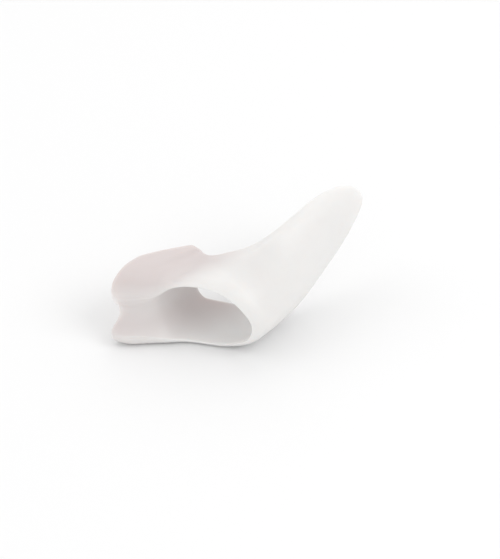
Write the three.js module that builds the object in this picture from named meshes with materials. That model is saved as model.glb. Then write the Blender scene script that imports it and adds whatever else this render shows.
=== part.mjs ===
// Gel toe separator with a bunion pad, for a right foot: one moulding of soft gel.
// A loop goes round the big toe, a waisted spreader stands between the big toe and its neighbour,
// and a thin cupped pad runs back from the loop over the side of the big toe's joint.
//
// Millimetres. +X is towards the inner side of the foot, +Y towards the heel, +Z up. The origin is
// on the surface that the piece stands on, under the middle of the toe hole.
//
// The wall is a grid of columns and rows. A column starts on the front rim of the loop and runs back
// to the rear rim, which on the inner side of the foot is the outline of the pad. The inner face
// follows the toe and the foot. The outer face stands off it by the wall, and on the outer side of
// the toe it follows the spreader's profile.
import * as THREE from "three";

// Toe hole and loop
const TOE_WIDTH = 28.4; // clear width of the hole
const TOE_HEIGHT = 22; // clear height of the hole
const LOOP_WALL = 2.1; // wall over the toe and at its inner side
const SOLE_WALL = 1.7; // wall under the toe
const SOLE_PRESS = 0.6; // how far standing on it presses the underside flat
const LOOP_LENGTH = 17; // length of the loop along the toe, under it

// Foot under the pad
const JOINT_REACH = 18; // from the middle of the loop back to the widest place of the joint
const JOINT_OUT = 12.7; // how far the foot stands out from the toe's axis there
const JOINT_HEIGHT = 32; // height of the foot there
const INSTEP_REACH = 35; // from the middle of the loop back to the middle of the instep's side
const INSTEP_OUT = 9.2; // how far the foot stands out from the toe's axis there
const INSTEP_TOP = 37.5; // height of the foot there
const TAIL_REACH = 54; // from the middle of the loop back to the tip of the pad
const TAIL_OUT = 6.8; // how far the foot stands out from the toe's axis at the tip
const TAIL_TOP = 41; // height of the foot at the tip
const ARCH_RISE = 11; // how far the foot's underside has risen at the tip

// Pad
const PAD_WALL = 3.2; // wall over the joint
const PAD_TAPER = 14; // width of the band in which the wall thins out to the pad's rim
const RIM_WALL = 0.9; // wall at a rim, behind its rounding
const RIM_ROUND = 1.3; // width of the rounding

// Spreader between the toes
const SPREADER_LENGTH = 32.5; // length along the toe
const SPREADER_AHEAD = 13; // how far its middle lies ahead of the middle of the loop
const FLANGE_OUT = 11; // how far its top flange stands out from the toe's side
const FLANGE_RISE = 1; // how far the flange's tip stands above the top of the toe
const WAIST_OUT = 7.3; // thickness between the toes
const FLARE_OUT = 7.8; // how far the lower flare stands out from the toe's side
const SPREADER_TAPER = 0.62; // share of its thickness that is gone at its rear end
const NOSE_OUT = 7; // how far its front end turns away from the toe
const NOSE_ROUND = 10.5; // length of the rounding at its front end
const NOSE_INSIDE = 7; // length of that rounding on the side of the toe
const HEEL_ROUND = 1.6; // length of the rounding at its rear end
const ROUNDING = 2.2; // power of both roundings, with 2 for a circle
const TAPER_EASE = 1.25; // power by which the taper sets in

const COLUMNS = 126; // round the toe
const ROWS = 22; // from the front rim to the rear rim

const TOE_HALF = TOE_WIDTH / 2;
const TOE_RISE = TOE_HEIGHT / 2;
const TOE_AXIS = SOLE_WALL + TOE_RISE; // height of the toe's axis
const DEGREE = Math.PI / 180;
const NUDGE = 0.05; // step by which a slope is measured

const NOSE_BACK = -SPREADER_AHEAD - SPREADER_LENGTH / 2; // the spreader's front end

// The toe and the foot as oval sections, each with its inner, outer, top and bottom side.
const FOOT_SECTIONS = [
  { back: 1.5 * NOSE_BACK, inner: TOE_HALF, outer: TOE_HALF + NOSE_OUT, top: TOE_HEIGHT, bottom: 0 },
  { back: NOSE_BACK, inner: TOE_HALF, outer: TOE_HALF + NOSE_OUT, top: TOE_HEIGHT, bottom: 0 },
  { back: 0.5 * NOSE_BACK, inner: TOE_HALF, outer: TOE_HALF, top: TOE_HEIGHT, bottom: 0 },
  { back: 0, inner: TOE_HALF, outer: TOE_HALF, top: 1.03 * TOE_HEIGHT, bottom: 0 },
  { back: JOINT_REACH, inner: JOINT_OUT, outer: 1.2 * JOINT_OUT, top: JOINT_HEIGHT, bottom: ARCH_RISE / 12 },
  { back: INSTEP_REACH, inner: INSTEP_OUT, outer: 2 * INSTEP_OUT, top: INSTEP_TOP, bottom: 0.4 * ARCH_RISE },
  { back: TAIL_REACH, inner: TAIL_OUT, outer: 4 * TAIL_OUT, top: TAIL_TOP, bottom: ARCH_RISE },
  { back: 1.5 * TAIL_REACH, inner: TAIL_OUT / 2, outer: 5 * TAIL_OUT, top: TAIL_TOP, bottom: 2 * ARCH_RISE },
];

// The rims, by the share of the columns. turn is the angle round the toe: 0 at the inner side,
// 90 on top, 180 between the toes and 270 underneath. back is the place along the toe.
const FRONT_RIM = [
  { share: 0, turn: 0, back: -0.12 * LOOP_LENGTH },
  { share: 0.073, turn: 38, back: -0.22 * LOOP_LENGTH },
  { share: 0.147, turn: 76, back: -0.38 * LOOP_LENGTH },
  { share: 0.202, turn: 104, back: -0.58 * LOOP_LENGTH },
  { share: 0.25, turn: 126, back: -0.72 * LOOP_LENGTH },
  { share: 0.28, turn: 139, back: -0.79 * LOOP_LENGTH },
  { share: 0.31, turn: 154, back: -SPREADER_AHEAD - 0.08 * SPREADER_LENGTH },
  { share: 0.34, turn: 163, back: -SPREADER_AHEAD - 0.22 * SPREADER_LENGTH },
  { share: 0.388, turn: 169, back: -SPREADER_AHEAD - 0.39 * SPREADER_LENGTH },
  { share: 0.444, turn: 173, back: -SPREADER_AHEAD - 0.42 * SPREADER_LENGTH },
  { share: 0.5, turn: 178, back: -SPREADER_AHEAD - 0.38 * SPREADER_LENGTH },
  { share: 0.55, turn: 187, back: -SPREADER_AHEAD - 0.39 * SPREADER_LENGTH },
  { share: 0.6, turn: 198, back: -SPREADER_AHEAD - 0.46 * SPREADER_LENGTH },
  { share: 0.65, turn: 208, back: -SPREADER_AHEAD - 0.5 * SPREADER_LENGTH },
  { share: 0.7, turn: 218, back: -SPREADER_AHEAD - 0.45 * SPREADER_LENGTH },
  { share: 0.74, turn: 226, back: -SPREADER_AHEAD - 0.29 * SPREADER_LENGTH },
  { share: 0.78, turn: 237, back: -1.02 * LOOP_LENGTH },
  { share: 0.82, turn: 250, back: -0.74 * LOOP_LENGTH },
  { share: 0.87, turn: 272, back: -0.48 * LOOP_LENGTH },
  { share: 0.93, turn: 315, back: -0.17 * LOOP_LENGTH },
];
const REAR_RIM = [
  { share: 0, turn: 2, back: TAIL_REACH },
  { share: 0.028, turn: 14, back: 0.985 * TAIL_REACH },
  { share: 0.055, turn: 28, back: 0.94 * TAIL_REACH },
  { share: 0.082, turn: 42, back: 0.84 * TAIL_REACH },
  { share: 0.11, turn: 53.5, back: 0.7 * TAIL_REACH },
  { share: 0.147, turn: 64.5, back: 0.48 * TAIL_REACH },
  { share: 0.183, turn: 77, back: 0.28 * TAIL_REACH },
  { share: 0.22, turn: 94, back: 0.18 * TAIL_REACH },
  { share: 0.26, turn: 116, back: 0.12 * TAIL_REACH },
  { share: 0.3, turn: 134, back: 0.27 * LOOP_LENGTH },
  { share: 0.34, turn: 145, back: 0.55 * SPREADER_LENGTH - SPREADER_AHEAD },
  { share: 0.388, turn: 153, back: 0.55 * SPREADER_LENGTH - SPREADER_AHEAD },
  { share: 0.444, turn: 161, back: 0.52 * SPREADER_LENGTH - SPREADER_AHEAD },
  { share: 0.5, turn: 170, back: 0.5 * SPREADER_LENGTH - SPREADER_AHEAD },
  { share: 0.558, turn: 183, back: 0.46 * SPREADER_LENGTH - SPREADER_AHEAD },
  { share: 0.61, turn: 198, back: 0.45 * SPREADER_LENGTH - SPREADER_AHEAD },
  { share: 0.65, turn: 208, back: 0.46 * SPREADER_LENGTH - SPREADER_AHEAD },
  { share: 0.7, turn: 216, back: 0.48 * SPREADER_LENGTH - SPREADER_AHEAD },
  { share: 0.74, turn: 226, back: 0.28 * LOOP_LENGTH },
  { share: 0.8, turn: 245, back: 0.54 * LOOP_LENGTH },
  { share: 0.86, turn: 268, back: 0.74 * LOOP_LENGTH },
  { share: 0.9, turn: 286, back: 0.31 * TAIL_REACH },
  { share: 0.93, turn: 300, back: 0.42 * TAIL_REACH },
  { share: 0.95, turn: 312, back: 0.57 * TAIL_REACH },
  { share: 0.97, turn: 326, back: 0.77 * TAIL_REACH },
  { share: 0.985, turn: 342, back: 0.945 * TAIL_REACH },
];

// The spreader's outer profile, seen along the toe: out from the toe's side and up from its axis.
// weight says how much of it takes the place of the loop's wall, and blunt how far the front rim
// stands off the toe, as a share of the thickness.
const PROFILE = [
  { share: 0.24, weight: 0, blunt: 0, out: -0.5 * TOE_HALF, up: 1.07 * TOE_RISE },
  { share: 0.27, weight: 0.4, blunt: 0, out: -0.3 * TOE_HALF, up: 1.01 * TOE_RISE },
  { share: 0.295, weight: 0.75, blunt: 0.02, out: -0.12 * TOE_HALF, up: 0.97 * TOE_RISE },
  { share: 0.315, weight: 1, blunt: 0.08, out: 0.1 * FLANGE_OUT, up: 0.93 * TOE_RISE },
  { share: 0.332, weight: 1, blunt: 0.16, out: 0.3 * FLANGE_OUT, up: 0.94 * TOE_RISE },
  { share: 0.348, weight: 1, blunt: 0.24, out: 0.52 * FLANGE_OUT, up: TOE_RISE + 0.1 * FLANGE_RISE },
  { share: 0.366, weight: 1, blunt: 0.3, out: 0.74 * FLANGE_OUT, up: TOE_RISE + 0.55 * FLANGE_RISE },
  { share: 0.388, weight: 1, blunt: 0.34, out: 0.92 * FLANGE_OUT, up: TOE_RISE + 0.95 * FLANGE_RISE },
  { share: 0.405, weight: 1, blunt: 0.36, out: FLANGE_OUT, up: TOE_RISE + 0.7 * FLANGE_RISE },
  { share: 0.422, weight: 1, blunt: 0.37, out: 0.98 * FLANGE_OUT, up: 0.96 * TOE_RISE },
  { share: 0.444, weight: 1, blunt: 0.38, out: 0.86 * FLANGE_OUT, up: 0.77 * TOE_RISE },
  { share: 0.472, weight: 1, blunt: 0.4, out: 1.06 * WAIST_OUT, up: 0.54 * TOE_RISE },
  { share: 0.504, weight: 1, blunt: 0.42, out: 0.95 * WAIST_OUT, up: 0.22 * TOE_RISE },
  { share: 0.529, weight: 1, blunt: 0.42, out: 0.9 * WAIST_OUT, up: -0.1 * TOE_RISE },
  { share: 0.554, weight: 1, blunt: 0.42, out: 0.95 * WAIST_OUT, up: -0.4 * TOE_RISE },
  { share: 0.577, weight: 1, blunt: 0.4, out: 0.91 * FLARE_OUT, up: -0.66 * TOE_RISE },
  { share: 0.598, weight: 1, blunt: 0.38, out: 0.97 * FLARE_OUT, up: -0.85 * TOE_RISE },
  { share: 0.62, weight: 1, blunt: 0.36, out: FLARE_OUT, up: -0.93 * TOE_AXIS },
  { share: 0.64, weight: 1, blunt: 0.33, out: 0.92 * FLARE_OUT, up: -1.01 * TOE_AXIS },
  { share: 0.67, weight: 1, blunt: 0.28, out: 0.6 * FLARE_OUT, up: -1.02 * TOE_AXIS },
  { share: 0.7, weight: 1, blunt: 0.2, out: 0.25 * FLARE_OUT, up: -1.02 * TOE_AXIS },
  { share: 0.74, weight: 1, blunt: 0.1, out: -0.16 * TOE_HALF, up: -1.02 * TOE_AXIS },
  { share: 0.82, weight: 1, blunt: 0.02, out: -0.6 * TOE_HALF, up: -1.02 * TOE_AXIS },
  { share: 0.87, weight: 0, blunt: 0, out: -0.97 * TOE_HALF, up: -1.02 * TOE_AXIS },
];

const mix = (a, b, t) => a + (b - a) * t;
const clamp01 = (t) => Math.min(1, Math.max(0, t));
const smooth = (t) => clamp01(t) ** 2 * (3 - 2 * clamp01(t));
const quarterRound = (t) => Math.sqrt(1 - (1 - clamp01(t)) ** 2);

// A smooth reading of one column of a table at a place in its key column, with no overshoot.
function read(rows, key, column, at, linear = false) {
  let n = rows.findIndex((row) => row[key] >= at);
  n = n < 1 ? (n === 0 ? 1 : rows.length - 1) : n;
  const step = (k) => rows[k][key] - rows[k - 1][key];
  const slope = (k) => (rows[k][column] - rows[k - 1][column]) / step(k);
  const h = step(n);
  const t = (at - rows[n - 1][key]) / h;
  if (linear) return mix(rows[n - 1][column], rows[n][column], t);
  const tangent = (k) => {
    if (k === 0) return slope(1);
    if (k === rows.length - 1) return slope(k);
    const before = slope(k);
    const after = slope(k + 1);
    if (before * after <= 0) return 0;
    return (3 * (step(k) + step(k + 1))) /
      ((2 * step(k + 1) + step(k)) / before + (step(k + 1) + 2 * step(k)) / after);
  };
  const p0 = rows[n - 1][column];
  const p1 = rows[n][column];
  return (2 * t ** 3 - 3 * t ** 2 + 1) * p0 + (t ** 3 - 2 * t ** 2 + t) * h * tangent(n - 1) +
    (3 * t ** 2 - 2 * t ** 3) * p1 + (t ** 3 - t ** 2) * h * tangent(n);
}

// A table that goes round the toe, with its first and last rows repeated a turn away.
function round(rows) {
  const moved = (by) => (row) => ({ ...row, share: row.share + by, turn: row.turn + 360 * by });
  return [...rows.slice(-2).map(moved(-1)), ...rows, ...rows.slice(0, 2).map(moved(1))];
}
const FRONT = round(FRONT_RIM);
const REAR = round(REAR_RIM);

// A point of the toe's or the foot's skin.
function skin(turn, back) {
  const side = (name) => read(FOOT_SECTIONS, "back", name, back);
  const [inner, outer, top, bottom] = ["inner", "outer", "top", "bottom"].map(side);
  const a = turn * DEGREE;
  return new THREE.Vector3(
    (inner - outer) / 2 + ((inner + outer) / 2) * Math.cos(a),
    back,
    SOLE_WALL + (top + bottom) / 2 + ((top - bottom) / 2) * Math.sin(a),
  );
}

// The direction straight out of the skin.
function outwards(turn, back) {
  const round = skin(turn + NUDGE, back).sub(skin(turn - NUDGE, back));
  const along = skin(turn, back + NUDGE).sub(skin(turn, back - NUDGE));
  return along.cross(round).normalize();
}

// The spreader's outer face on a column, at a place along the toe. Towards the heel it gets thinner
// and its flange comes down to the top of the toe.
function spreaderFace(share, back) {
  const out = read(PROFILE, "share", "out", share);
  const up = read(PROFILE, "share", "up", share);
  const behind = clamp01((back + SPREADER_AHEAD) / (SPREADER_LENGTH / 2));
  const taper = SPREADER_TAPER * behind ** TAPER_EASE;
  const thinner = taper * Math.max(0, out);
  const lower = behind * Math.max(0, up - TOE_RISE);
  return new THREE.Vector3(thinner - out - TOE_HALF, back, TOE_AXIS + up - lower);
}

// How far the outer and the inner face lie on the way to the spreader's outer face: not at all on the
// loop's columns, and rounded at both ends.
function spreaderShares(share, fromFront, fromRear) {
  if (share <= PROFILE[0].share || share >= PROFILE.at(-1).share) return [0, 0];
  const end = (t) => (1 - (1 - clamp01(t)) ** ROUNDING) ** (1 / ROUNDING);
  const weight = smooth(read(PROFILE, "share", "weight", share, true));
  const blunt = read(PROFILE, "share", "blunt", share);
  const outer = mix(blunt, 1, end(fromFront / NOSE_ROUND)) * end(fromRear / HEEL_ROUND);
  const inner = blunt * (1 - end(fromFront / NOSE_INSIDE));
  return [weight * outer, weight * inner];
}

// The wall at a place, from its distances to the front and the rear rim.
function wall(turn, back, fromFront, fromRear) {
  const under = smooth(-2 * Math.sin(turn * DEGREE) - 1);
  const loop = mix(LOOP_WALL, SOLE_WALL + SOLE_PRESS, under);
  const overJoint = smooth(back / JOINT_REACH);
  const near = Math.min(fromFront, fromRear);
  const full = Math.sin((Math.PI / 2) * clamp01(near / mix(3 * RIM_ROUND, PAD_TAPER, overJoint)));
  return mix(RIM_WALL, mix(loop, PAD_WALL, overJoint), full) * quarterRound(near / RIM_ROUND);
}

// The two faces of the wall, as points column by column.
function wallGrid() {
  const inner = [];
  const outer = [];
  for (let n = 0; n < COLUMNS; n++) {
    const share = n / COLUMNS;
    const [start, from] = ["back", "turn"].map((name) => read(FRONT, "share", name, share));
    const [end, to] = ["back", "turn"].map((name) => read(REAR, "share", name, share));
    for (let m = 0; m <= ROWS; m++) {
      const t = (1 - Math.cos((Math.PI * m) / ROWS)) / 2;
      const back = mix(start, end, t);
      const turn = mix(from, to, smooth(t));
      const foot = skin(turn, back);
      const rims = [t * (end - start), (1 - t) * (end - start)];
      const face = foot.clone().addScaledVector(outwards(turn, back), wall(turn, back, ...rims));
      const beside = spreaderFace(share, back);
      const [outerShare, innerShare] = spreaderShares(share, ...rims);
      face.lerp(beside, outerShare);
      foot.lerp(beside, innerShare);
      face.z = Math.max(face.z, 0);
      inner.push(foot);
      outer.push(face);
    }
  }
  return { inner, outer };
}

// The closed surface of the whole moulding.
function moulding() {
  const { inner, outer } = wallGrid();
  const rows = ROWS + 1;
  const points = [...outer, ...inner];
  const faces = [];
  const at = (n, m, side) => {
    const rim = m === 0 || m === ROWS;
    return (n % COLUMNS) * rows + m + (side === "inner" && !rim ? outer.length : 0);
  };
  const apart = (a, b) => points[a].distanceTo(points[b]);
  const quad = (a, b, c, d) => {
    if (apart(a, c) < apart(b, d)) faces.push(a, b, c, a, c, d);
    else faces.push(a, b, d, b, c, d);
  };
  for (let n = 0; n < COLUMNS; n++)
    for (let m = 0; m < ROWS; m++) {
      quad(at(n, m, "outer"), at(n, m + 1, "outer"), at(n + 1, m + 1, "outer"), at(n + 1, m, "outer"));
      quad(at(n, m, "inner"), at(n + 1, m, "inner"), at(n + 1, m + 1, "inner"), at(n, m + 1, "inner"));
    }
  const geometry = new THREE.BufferGeometry().setFromPoints(points);
  geometry.setIndex(faces);
  return geometry;
}

const gel = new THREE.MeshStandardMaterial({ color: 0xf1f0ee, roughness: 0.35, metalness: 0 });

const separator = new THREE.Group();
const body = new THREE.Mesh(moulding(), gel);
body.name = "gel_separator";
separator.add(body);

export default separator;
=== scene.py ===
# Gel toe separator with a joint pad: its looks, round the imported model.
# One moulding of milky soft gel with a loop for the big toe, a waisted spreader and a cupped pad.
import math

import bpy
import numpy as np
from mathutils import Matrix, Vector


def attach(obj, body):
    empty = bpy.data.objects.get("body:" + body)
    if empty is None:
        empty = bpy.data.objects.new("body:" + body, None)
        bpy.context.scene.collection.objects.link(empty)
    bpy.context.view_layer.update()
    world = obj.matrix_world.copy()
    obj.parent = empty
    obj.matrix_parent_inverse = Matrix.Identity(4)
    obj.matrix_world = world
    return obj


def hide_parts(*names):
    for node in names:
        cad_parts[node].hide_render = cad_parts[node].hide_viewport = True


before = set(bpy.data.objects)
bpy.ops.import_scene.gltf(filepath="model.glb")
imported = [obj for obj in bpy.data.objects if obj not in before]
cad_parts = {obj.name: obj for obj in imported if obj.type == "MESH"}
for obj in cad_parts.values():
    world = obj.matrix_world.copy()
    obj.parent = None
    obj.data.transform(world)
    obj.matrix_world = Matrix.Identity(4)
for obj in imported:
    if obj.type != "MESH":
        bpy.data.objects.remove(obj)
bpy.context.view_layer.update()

MM = 0.001

# Camera, at the photograph's angle to the piece.
CAMERA_AZIMUTH = math.radians(46)
CAMERA_ELEVATION = math.radians(42)
CAMERA_LENS = 135
CAMERA_DISTANCE = 0.655
CAMERA_AIM = Vector((0, 11.2, 16)) * MM


def make_camera():
    level = Vector((math.sin(CAMERA_AZIMUTH), -math.cos(CAMERA_AZIMUTH), 0))
    back = level * math.cos(CAMERA_ELEVATION) + Vector((0, 0, math.sin(CAMERA_ELEVATION)))
    camera = bpy.data.objects.new("camera", bpy.data.cameras.new("camera"))
    camera.data.lens = CAMERA_LENS
    camera.data.clip_start = 0.01
    camera.location = CAMERA_AIM + back * CAMERA_DISTANCE
    camera.rotation_mode = "QUATERNION"
    camera.rotation_quaternion = (-back).to_track_quat("-Z", "Y")
    bpy.context.scene.collection.objects.link(camera)
    bpy.context.scene.camera = camera


make_camera()


class Table:
    """Rows with named columns. A call reads one column smoothly, with no overshoot."""

    def __init__(self, key, names, rows, loops=False):
        values = np.array(rows, float)
        names = names.split()
        if loops:  # the rows go round the toe, so the ends repeat a whole turn away
            step = np.array([{"share": 1, "turn": 360}.get(name, 0) for name in names])
            values = np.vstack([values[-2:] - step, values, values[:2] + step])
        self.columns = dict(zip(names, values.T))
        self.key = self.columns[key]

    def __call__(self, name, at):
        column, key = self.columns[name], self.key
        step = np.diff(key)
        slope = np.diff(column) / step
        before, after = slope[:-1], slope[1:]
        same = before * after > 0
        with np.errstate(divide="ignore", invalid="ignore"):
            middle = 3 * (step[:-1] + step[1:]) / (
                (2 * step[1:] + step[:-1]) / before + (step[1:] + 2 * step[:-1]) / after
            )
        tangent = np.concatenate([slope[:1], np.where(same, middle, 0), slope[-1:]])
        n = np.clip(np.searchsorted(key, at), 1, len(key) - 1)
        h = step[n - 1]
        t = (at - key[n - 1]) / h
        return (
            (2 * t**3 - 3 * t**2 + 1) * column[n - 1]
            + (t**3 - 2 * t**2 + t) * h * tangent[n - 1]
            + (3 * t**2 - 2 * t**3) * column[n]
            + (t**3 - t**2) * h * tangent[n]
        )


# Sizes in millimetres, as the solids have them.
TOE_WIDTH = 28.4  # clear width of the hole
TOE_HEIGHT = 22  # clear height of the hole
LOOP_WALL = 2.1  # wall over the toe and at its inner side
SOLE_WALL = 1.7  # wall under the toe
SOLE_PRESS = 0.6  # how far standing on it presses the underside flat
LOOP_LENGTH = 17  # length of the loop along the toe, under it
JOINT_REACH = 18  # from the middle of the loop back to the widest place of the joint
JOINT_OUT = 12.7  # how far the foot stands out from the toe's axis there
JOINT_HEIGHT = 32  # height of the foot there
INSTEP_REACH = 35  # from the middle of the loop back to the middle of the instep's side
INSTEP_OUT = 9.2  # how far the foot stands out from the toe's axis there
INSTEP_TOP = 37.5  # height of the foot there
TAIL_REACH = 54  # from the middle of the loop back to the tip of the pad
TAIL_OUT = 6.8  # how far the foot stands out from the toe's axis at the tip
TAIL_TOP = 41  # height of the foot at the tip
ARCH_RISE = 11  # how far the foot's underside has risen at the tip
PAD_WALL = 3.2  # wall over the joint
PAD_TAPER = 14  # width of the band in which the wall thins out to the pad's rim
RIM_WALL = 0.9  # wall at a rim, behind its rounding
RIM_ROUND = 1.3  # width of the rounding
SPREADER_LENGTH = 32.5  # length along the toe
SPREADER_AHEAD = 13  # how far its middle lies ahead of the middle of the loop
FLANGE_OUT = 11  # how far its top flange stands out from the toe's side
FLANGE_RISE = 1  # how far the flange's tip stands above the top of the toe
WAIST_OUT = 7.3  # thickness between the toes
FLARE_OUT = 7.8  # how far the lower flare stands out from the toe's side
SPREADER_TAPER = 0.62  # share of its thickness that is gone at its rear end
NOSE_OUT = 7  # how far its front end turns away from the toe
NOSE_ROUND = 10.5  # length of the rounding at its front end
NOSE_INSIDE = 7  # length of that rounding on the side of the toe
HEEL_ROUND = 1.6  # length of the rounding at its rear end
ROUNDING = 2.2  # power of both roundings, with 2 for a circle
TAPER_EASE = 1.25  # power by which the taper sets in
TOE_HALF = TOE_WIDTH / 2
TOE_RISE = TOE_HEIGHT / 2
TOE_AXIS = SOLE_WALL + TOE_RISE  # height of the toe's axis
NOSE_BACK = -SPREADER_AHEAD - SPREADER_LENGTH / 2

# The toe and the foot as oval sections, each with its inner, outer, top and bottom side.
FOOT_SECTIONS = Table("back", "back inner outer top bottom", [
    (1.5 * NOSE_BACK, TOE_HALF, TOE_HALF + NOSE_OUT, TOE_HEIGHT, 0),
    (NOSE_BACK, TOE_HALF, TOE_HALF + NOSE_OUT, TOE_HEIGHT, 0),
    (0.5 * NOSE_BACK, TOE_HALF, TOE_HALF, TOE_HEIGHT, 0),
    (0, TOE_HALF, TOE_HALF, 1.03 * TOE_HEIGHT, 0),
    (JOINT_REACH, JOINT_OUT, 1.2 * JOINT_OUT, JOINT_HEIGHT, ARCH_RISE / 12),
    (INSTEP_REACH, INSTEP_OUT, 2 * INSTEP_OUT, INSTEP_TOP, 0.4 * ARCH_RISE),
    (TAIL_REACH, TAIL_OUT, 4 * TAIL_OUT, TAIL_TOP, ARCH_RISE),
    (1.5 * TAIL_REACH, TAIL_OUT / 2, 5 * TAIL_OUT, TAIL_TOP, 2 * ARCH_RISE),
])

# The rims, by the share of the columns, with the angle round the toe and the place along it.
FRONT_RIM = Table("share", "share turn back", [
    (0, 0, -0.12 * LOOP_LENGTH),
    (0.073, 38, -0.22 * LOOP_LENGTH),
    (0.147, 76, -0.38 * LOOP_LENGTH),
    (0.202, 104, -0.58 * LOOP_LENGTH),
    (0.25, 126, -0.72 * LOOP_LENGTH),
    (0.28, 139, -0.79 * LOOP_LENGTH),
    (0.31, 154, -SPREADER_AHEAD - 0.08 * SPREADER_LENGTH),
    (0.34, 163, -SPREADER_AHEAD - 0.22 * SPREADER_LENGTH),
    (0.388, 169, -SPREADER_AHEAD - 0.39 * SPREADER_LENGTH),
    (0.444, 173, -SPREADER_AHEAD - 0.42 * SPREADER_LENGTH),
    (0.5, 178, -SPREADER_AHEAD - 0.38 * SPREADER_LENGTH),
    (0.55, 187, -SPREADER_AHEAD - 0.39 * SPREADER_LENGTH),
    (0.6, 198, -SPREADER_AHEAD - 0.46 * SPREADER_LENGTH),
    (0.65, 208, -SPREADER_AHEAD - 0.5 * SPREADER_LENGTH),
    (0.7, 218, -SPREADER_AHEAD - 0.45 * SPREADER_LENGTH),
    (0.74, 226, -SPREADER_AHEAD - 0.29 * SPREADER_LENGTH),
    (0.78, 237, -1.02 * LOOP_LENGTH),
    (0.82, 250, -0.74 * LOOP_LENGTH),
    (0.87, 272, -0.48 * LOOP_LENGTH),
    (0.93, 315, -0.17 * LOOP_LENGTH),
], loops=True)
REAR_RIM = Table("share", "share turn back", [
    (0, 2, TAIL_REACH),
    (0.028, 14, 0.985 * TAIL_REACH),
    (0.055, 28, 0.94 * TAIL_REACH),
    (0.082, 42, 0.84 * TAIL_REACH),
    (0.11, 53.5, 0.7 * TAIL_REACH),
    (0.147, 64.5, 0.48 * TAIL_REACH),
    (0.183, 77, 0.28 * TAIL_REACH),
    (0.22, 94, 0.18 * TAIL_REACH),
    (0.26, 116, 0.12 * TAIL_REACH),
    (0.3, 134, 0.27 * LOOP_LENGTH),
    (0.34, 145, 0.55 * SPREADER_LENGTH - SPREADER_AHEAD),
    (0.388, 153, 0.55 * SPREADER_LENGTH - SPREADER_AHEAD),
    (0.444, 161, 0.52 * SPREADER_LENGTH - SPREADER_AHEAD),
    (0.5, 170, 0.5 * SPREADER_LENGTH - SPREADER_AHEAD),
    (0.558, 183, 0.46 * SPREADER_LENGTH - SPREADER_AHEAD),
    (0.61, 198, 0.45 * SPREADER_LENGTH - SPREADER_AHEAD),
    (0.65, 208, 0.46 * SPREADER_LENGTH - SPREADER_AHEAD),
    (0.7, 216, 0.48 * SPREADER_LENGTH - SPREADER_AHEAD),
    (0.74, 226, 0.28 * LOOP_LENGTH),
    (0.8, 245, 0.54 * LOOP_LENGTH),
    (0.86, 268, 0.74 * LOOP_LENGTH),
    (0.9, 286, 0.31 * TAIL_REACH),
    (0.93, 300, 0.42 * TAIL_REACH),
    (0.95, 312, 0.57 * TAIL_REACH),
    (0.97, 326, 0.77 * TAIL_REACH),
    (0.985, 342, 0.945 * TAIL_REACH),
], loops=True)

# The spreader's outer profile, seen along the toe: out from the toe's side and up from its axis.
PROFILE = Table("share", "share weight blunt out up", [
    (0.24, 0, 0, -0.5 * TOE_HALF, 1.07 * TOE_RISE),
    (0.27, 0.4, 0, -0.3 * TOE_HALF, 1.01 * TOE_RISE),
    (0.295, 0.75, 0.02, -0.12 * TOE_HALF, 0.97 * TOE_RISE),
    (0.315, 1, 0.08, 0.1 * FLANGE_OUT, 0.93 * TOE_RISE),
    (0.332, 1, 0.16, 0.3 * FLANGE_OUT, 0.94 * TOE_RISE),
    (0.348, 1, 0.24, 0.52 * FLANGE_OUT, TOE_RISE + 0.1 * FLANGE_RISE),
    (0.366, 1, 0.3, 0.74 * FLANGE_OUT, TOE_RISE + 0.55 * FLANGE_RISE),
    (0.388, 1, 0.34, 0.92 * FLANGE_OUT, TOE_RISE + 0.95 * FLANGE_RISE),
    (0.405, 1, 0.36, FLANGE_OUT, TOE_RISE + 0.7 * FLANGE_RISE),
    (0.422, 1, 0.37, 0.98 * FLANGE_OUT, 0.96 * TOE_RISE),
    (0.444, 1, 0.38, 0.86 * FLANGE_OUT, 0.77 * TOE_RISE),
    (0.472, 1, 0.4, 1.06 * WAIST_OUT, 0.54 * TOE_RISE),
    (0.504, 1, 0.42, 0.95 * WAIST_OUT, 0.22 * TOE_RISE),
    (0.529, 1, 0.42, 0.9 * WAIST_OUT, -0.1 * TOE_RISE),
    (0.554, 1, 0.42, 0.95 * WAIST_OUT, -0.4 * TOE_RISE),
    (0.577, 1, 0.4, 0.91 * FLARE_OUT, -0.66 * TOE_RISE),
    (0.598, 1, 0.38, 0.97 * FLARE_OUT, -0.85 * TOE_RISE),
    (0.62, 1, 0.36, FLARE_OUT, -0.93 * TOE_AXIS),
    (0.64, 1, 0.33, 0.92 * FLARE_OUT, -1.01 * TOE_AXIS),
    (0.67, 1, 0.28, 0.6 * FLARE_OUT, -1.02 * TOE_AXIS),
    (0.7, 1, 0.2, 0.25 * FLARE_OUT, -1.02 * TOE_AXIS),
    (0.74, 1, 0.1, -0.16 * TOE_HALF, -1.02 * TOE_AXIS),
    (0.82, 1, 0.02, -0.6 * TOE_HALF, -1.02 * TOE_AXIS),
    (0.87, 0, 0, -0.97 * TOE_HALF, -1.02 * TOE_AXIS),
])
# End of the sizes.

COLUMNS = 330  # round the toe
ROWS = 76  # from the front rim to the rear rim
NUDGE = 0.05  # step by which a slope is measured
LIP = 0.5  # share of a rim's wall that its inner edge is rounded off by
AT_RIM = 1e-6  # distance within which a point counts as on a rim
RELAX_FACTOR = 0.5  # how far each smoothing step moves a point towards its neighbours
RELAX_STEPS = 14


def mix(a, b, t):
    return a + (b - a) * t


def clamp01(t):
    return np.clip(t, 0, 1)


def smooth(t):
    return clamp01(t) ** 2 * (3 - 2 * clamp01(t))


def quarter_round(t):
    return np.sqrt(1 - (1 - clamp01(t)) ** 2)


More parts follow.
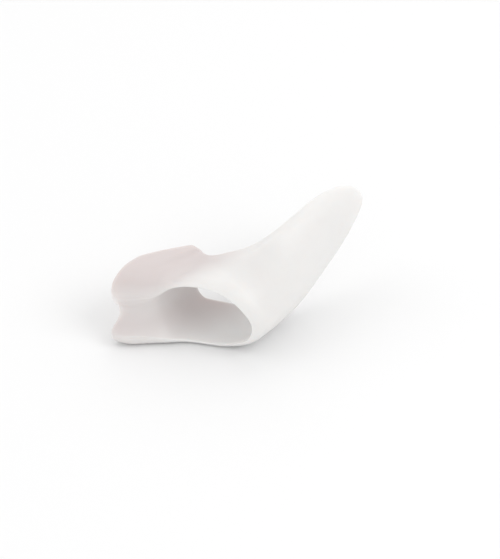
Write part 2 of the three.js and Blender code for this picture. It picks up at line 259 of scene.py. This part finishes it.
def skin(turn, back):
    """The points of the toe's or the foot's skin."""
    sides = ("inner", "outer", "top", "bottom")
    inner, outer, top, bottom = (FOOT_SECTIONS(name, back) for name in sides)
    a = np.radians(turn)
    x = (inner - outer) / 2 + (inner + outer) / 2 * np.cos(a)
    z = SOLE_WALL + (top + bottom) / 2 + (top - bottom) / 2 * np.sin(a)
    return np.stack([x, back, z], -1)


def outwards(turn, back):
    """The directions straight out of the skin."""
    around = skin(turn + NUDGE, back) - skin(turn - NUDGE, back)
    along = skin(turn, back + NUDGE) - skin(turn, back - NUDGE)
    out = np.cross(along, around)
    return out / np.linalg.norm(out, axis=-1, keepdims=True)


def spreader_face(share, back):
    """The spreader's outer face on each column, at places along the toe."""
    out, up = PROFILE("out", share), PROFILE("up", share)
    behind = clamp01((back + SPREADER_AHEAD) / (SPREADER_LENGTH / 2))
    taper = SPREADER_TAPER * behind**TAPER_EASE
    thinner = taper * np.maximum(0, out)
    lower = behind * np.maximum(0, up - TOE_RISE)
    return np.stack([thinner - out - TOE_HALF, back, TOE_AXIS + up - lower], -1)


def spreader_shares(share, from_front, from_rear):
    """How far the outer and the inner face lie on the way to the spreader's outer face."""

    def end(t):
        return (1 - (1 - clamp01(t)) ** ROUNDING) ** (1 / ROUNDING)

    inside = (share > PROFILE.key[0]) & (share < PROFILE.key[-1])
    weight = smooth(np.interp(share, PROFILE.key, PROFILE.columns["weight"])) * inside
    blunt = PROFILE("blunt", share)
    outer = mix(blunt, 1, end(from_front / NOSE_ROUND)) * end(from_rear / HEEL_ROUND)
    inner = blunt * (1 - end(from_front / NOSE_INSIDE))
    return weight * outer, weight * inner


def wall(turn, back, from_front, from_rear):
    """The wall at a place, from its distances to the front and the rear rim."""
    under = smooth(-2 * np.sin(np.radians(turn)) - 1)
    loop = mix(LOOP_WALL, SOLE_WALL + SOLE_PRESS, under)
    over_joint = smooth(back / JOINT_REACH)
    near = np.minimum(from_front, from_rear)
    full = np.sin(math.pi / 2 * clamp01(near / mix(3 * RIM_ROUND, PAD_TAPER, over_joint)))
    return mix(RIM_WALL, mix(loop, PAD_WALL, over_joint), full) * quarter_round(near / RIM_ROUND)


def wall_grid():
    """The two faces of the wall as grids of points, and each point's distance to the nearest rim."""
    share = np.arange(COLUMNS) / COLUMNS
    start = FRONT_RIM("back", share)[:, None]
    end = REAR_RIM("back", share)[:, None]
    t = ((1 - np.cos(math.pi * np.arange(ROWS + 1) / ROWS)) / 2)[None, :]
    back = mix(start, end, t)
    turn = mix(FRONT_RIM("turn", share)[:, None], REAR_RIM("turn", share)[:, None], smooth(t))
    foot = skin(turn, back)
    out = outwards(turn, back)
    from_front, from_rear = t * (end - start), (1 - t) * (end - start)
    face = foot + out * wall(turn, back, from_front, from_rear)[..., None]
    near = np.minimum(from_front, from_rear)
    lip = LIP * RIM_WALL * (1 - quarter_round(near / (LIP * RIM_ROUND)))
    foot = foot + out * lip[..., None]
    column = share[:, None] + 0 * back
    beside = spreader_face(column, back)
    outer_share, inner_share = spreader_shares(column, from_front, from_rear)
    face = mix(face, beside, outer_share[..., None])
    foot = mix(foot, beside, inner_share[..., None])
    rims = near < AT_RIM
    face[rims] = foot[rims]
    face[..., 2] = np.maximum(face[..., 2], 0)
    foot[..., 2] = np.maximum(foot[..., 2], face[..., 2] * rims)
    return foot, face, near


def make_moulding():
    foot, face, near = wall_grid()
    rows = ROWS + 1
    outer = np.arange(COLUMNS * rows).reshape(COLUMNS, rows)
    inner = outer + COLUMNS * rows
    inner[:, 0], inner[:, -1] = outer[:, 0], outer[:, -1]
    outer, inner = np.vstack([outer, outer[:1]]), np.vstack([inner, inner[:1]])
    faces = np.vstack([
        np.stack([outer[:-1, :-1], outer[:-1, 1:], outer[1:, 1:], outer[1:, :-1]], -1).reshape(-1, 4),
        np.stack([inner[:-1, :-1], inner[1:, :-1], inner[1:, 1:], inner[:-1, 1:]], -1).reshape(-1, 4),
    ])
    used, faces = np.unique(faces, return_inverse=True)
    points = np.vstack([face.reshape(-1, 3), foot.reshape(-1, 3)])[used] * MM
    mesh = bpy.data.meshes.new("gel_moulding")
    mesh.from_pydata(points.tolist(), [], faces.reshape(-1, 4).tolist())
    rim = mesh.attributes.new("rim", "FLOAT", "POINT")
    rim.data.foreach_set("value", np.concatenate([near.ravel()] * 2)[used].astype(np.float32))
    for polygon in mesh.polygons:
        polygon.use_smooth = True
    piece = bpy.data.objects.new("gel_moulding", mesh)
    bpy.context.scene.collection.objects.link(piece)
    relax = piece.modifiers.new("relax", "SMOOTH")
    relax.factor = RELAX_FACTOR
    relax.iterations = RELAX_STEPS
    return piece


class Value:
    """A socket that takes part in sums, so that shader maths reads as an expression."""

    def __init__(self, shader, socket):
        self.shader = shader
        self.socket = socket

    def _math(self, operation, *inputs):
        return self.shader.node("ShaderNodeMath", {"operation": operation}, dict(enumerate(inputs)))

    def __add__(self, other):
        return self._math("ADD", self, other)

    def __sub__(self, other):
        return self._math("SUBTRACT", self, other)

    def __mul__(self, other):
        return self._math("MULTIPLY", self, other)

    def __radd__(self, other):
        return self._math("ADD", other, self)

    def __rsub__(self, other):
        return self._math("SUBTRACT", other, self)

    def __rmul__(self, other):
        return self._math("MULTIPLY", other, self)

    def least(self, other):
        return self._math("MINIMUM", self, other)

    def smooth_step(self, low, high):
        """0 at low, 1 at high, and smooth between them."""
        return self.shader.node(
            "ShaderNodeMapRange",
            {"interpolation_type": "SMOOTHSTEP"},
            {"Value": self, "From Min": low, "From Max": high},
        )


class Shader:
    """A material's node tree, built by calls."""

    def __init__(self, name):
        self.material = bpy.data.materials.new(name)
        self.material.use_nodes = True
        self.tree = self.material.node_tree
        self.tree.nodes.clear()

    def node(self, kind, settings=None, inputs=None, output=0):
        """Adds a node, with its settings first, and gives the output asked for."""
        node = self.tree.nodes.new(kind)
        for name, value in (settings or {}).items():
            setattr(node, name, value)
        for name, value in (inputs or {}).items():
            if isinstance(value, Value):
                self.tree.links.new(value.socket, node.inputs[name])
            else:
                node.inputs[name].default_value = value
        return Value(self, node.outputs[output]) if node.outputs else node

    def colour_mix(self, factor, a, b):
        """Colour a where the factor is 0 and b where it is 1."""
        node = self.tree.nodes.new("ShaderNodeMix")
        node.data_type = "RGBA"
        for socket, value in zip([node.inputs[0], node.inputs[6], node.inputs[7]], [factor, a, b]):
            if isinstance(value, Value):
                self.tree.links.new(value.socket, socket)
            else:
                socket.default_value = value
        return Value(self, node.outputs[2])

    def noise(self, place, scale, detail=2.0, roughness=0.5):
        return self.node(
            "ShaderNodeTexNoise",
            None,
            {"Vector": place, "Scale": scale, "Detail": detail, "Roughness": roughness},
        )

    def surface(self, inputs):
        """Ends the tree in a Principled shader with these inputs."""
        shader = self.node("ShaderNodeBsdfPrincipled", None, inputs)
        self.node("ShaderNodeOutputMaterial", None, {"Surface": shader})
        return self.material


MILK = (0.79, 0.781, 0.77, 1)  # the gel where it is thin and lit
SPREADER_SHADE = (0.67, 0.61, 0.60, 1)  # painted shade on the spreader, darker and tinted with painted pink light from the toes' skin
RIM_HIGHLIGHT = (0.84, 0.835, 0.825, 1)  # painted highlight where the wall ends at a rim
SHADE = (0.50, 0.50, 0.51, 1)  # the side that faces down, most of all at the rims

# Where the spreader's painted shade begins and ends, in metres on the way from the loop to the
# spreader.
SPREADER_SHADE_BEGINS = -0.003
SPREADER_SHADE_ENDS = 0.0125
SPREADER_SHADE_LEAN = 0.35  # how much the place along the toe counts beside the place across it
SPREADER_SHADE_LEAN_MOST = 0.005  # the place along the toe from which it counts no more
SPREADER_SHADE_UNEVEN = 0.003  # how far a cloud noise moves that border
SPREADER_SHADE_UPRIGHT = 0.62  # share of the spreader's painted shade left where the gel stands upright, which is painted light there
MOTTLE = 0.08  # share of the spreader's painted shade colour in the mottle

# Bands of light and shade at the rims, by the distance to the rim in millimetres.
RIM_BAND = (0.2, 1.4)
RIM_LIGHT = 0.4
RIM_LIGHT_IN_SPREADER_SHADE = 0.3  # how much less of that painted highlight there is in the spreader's full painted shade
DOWN_SHADE = 0.4
DOWN_SHADE_AT_RIM = 0.3  # how much more shade that is at a rim

# Cycles per metre of the three noises.
CLOUD_SCALE = 45
MOTTLE_SCALE = 240
GRAIN_SCALE = 1900

BUMP_STRENGTH = 0.1
BUMP_HEIGHT = 0.0002
ROUGHNESS = 0.33
GEL_IOR = 1.43


def milky_gel():
    """The gel: milky on the loop and the pad, with painted shade and painted pink light from the skin
    on the spreader.
    """
    shader = Shader("milky_gel")
    place = shader.node("ShaderNodeTexCoord", None, None, "Object")
    x, y = (shader.node("ShaderNodeSeparateXYZ", None, {"Vector": place}, axis) for axis in "XY")
    rim = shader.node("ShaderNodeAttribute", {"attribute_name": "rim"}, None, "Fac")
    cloud = shader.noise(place, CLOUD_SCALE, 2)
    mottle = shader.noise(place, MOTTLE_SCALE, 4, 0.6)
    grain = shader.noise(place, GRAIN_SCALE, 3, 0.6)
    # Painted shade and painted pink light over the spreader, set in from the loop's side.
    lean = SPREADER_SHADE_LEAN * y.least(SPREADER_SHADE_LEAN_MOST)
    towards_spreader = lean - x + SPREADER_SHADE_UNEVEN * (cloud - 0.5)
    normal = shader.node("ShaderNodeNewGeometry", None, None, "Normal")
    up = shader.node("ShaderNodeSeparateXYZ", None, {"Vector": normal}, "Z")
    # Painted light: upright faces, which get less light, keep less of the spreader's painted shade.
    facing = SPREADER_SHADE_UPRIGHT + (1 - SPREADER_SHADE_UPRIGHT) * up.smooth_step(0, 0.8)
    spreader_shade = towards_spreader.smooth_step(SPREADER_SHADE_BEGINS, SPREADER_SHADE_ENDS) * facing
    colour = shader.colour_mix(spreader_shade, MILK, SPREADER_SHADE)
    colour = shader.colour_mix(mottle.smooth_step(0.4, 0.8) * MOTTLE, colour, SPREADER_SHADE)
    thin = 1 - rim.smooth_step(*RIM_BAND)
    # Painted highlight along the rims, with less of it on the spreader.
    light = thin * (RIM_LIGHT - RIM_LIGHT_IN_SPREADER_SHADE * spreader_shade)
    colour = shader.colour_mix(light, colour, RIM_HIGHLIGHT)
    down = 1 - up.smooth_step(-0.8, -0.3)
    shade = down * (DOWN_SHADE + DOWN_SHADE_AT_RIM * thin)
    colour = shader.colour_mix(shade, colour, SHADE)
    height = mottle * 0.8 + grain * 0.2
    relief = {"Strength": BUMP_STRENGTH, "Distance": BUMP_HEIGHT, "Height": height}
    bump = shader.node("ShaderNodeBump", None, relief)
    return shader.surface({
        "Base Color": colour,
        "Roughness": ROUGHNESS + 0.1 * mottle + 0.06 * grain,
        "IOR": GEL_IOR,
        "Subsurface Weight": 0.6,
        "Subsurface Radius": (1.0, 0.92, 0.86),
        "Subsurface Scale": 0.0018,
        "Coat Weight": 0.12,
        "Coat Roughness": 0.25,
        "Normal": bump,
    })


FLOOR_REACH = 3.0
FLOOR_DROP = 0.0001  # how far the floor lies under the piece, so that the two faces don't meet
FLOOR_COLOUR = (0.88, 0.88, 0.88, 1)


def studio_floor():
    paint = Shader("pale_floor").surface({"Base Color": FLOOR_COLOUR, "Roughness": 0.9})
    mesh = bpy.data.meshes.new("floor")
    signs = [(-1, -1), (1, -1), (1, 1), (-1, 1)]
    corners = [(x * FLOOR_REACH, y * FLOOR_REACH, 0) for x, y in signs]
    mesh.from_pydata(corners, [], [(0, 1, 2, 3)])
    mesh.materials.append(paint)
    floor = bpy.data.objects.new("floor", mesh)
    floor.location.z = -FLOOR_DROP
    bpy.context.scene.collection.objects.link(floor)


# Soft square lights, each with its place, width in metres and power in watts. All aim at the origin.
LIGHTS = [
    ("key", (0.9, 0.4, 1.1), 0.9, 5.2),
    ("fill", (-0.8, -0.6, 1.1), 1.2, 2.8),
    ("back", (-0.5, 0.9, 1.1), 1.2, 1.8),
]
SURROUNDING_LIGHT = 0.85


def soft_light(name, place, size, power):
    light = bpy.data.lights.new(name, "AREA")
    light.size = size
    light.energy = power
    lamp = bpy.data.objects.new(name, light)
    lamp.location = place
    lamp.rotation_mode = "QUATERNION"
    lamp.rotation_quaternion = (-Vector(place)).to_track_quat("-Z", "Y")
    bpy.context.scene.collection.objects.link(lamp)


moulding = make_moulding()
moulding.data.materials.append(milky_gel())
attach(moulding, "root")
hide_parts("gel_separator")

studio_floor()
for light in LIGHTS:
    soft_light(*light)
world = bpy.data.worlds.new("studio")
world.use_nodes = True
surround = world.node_tree.nodes["Background"].inputs
surround["Color"].default_value = (1, 1, 1, 1)
surround["Strength"].default_value = SURROUNDING_LIGHT
bpy.context.scene.world = world
bpy.context.scene.view_settings.view_transform = "Standard"
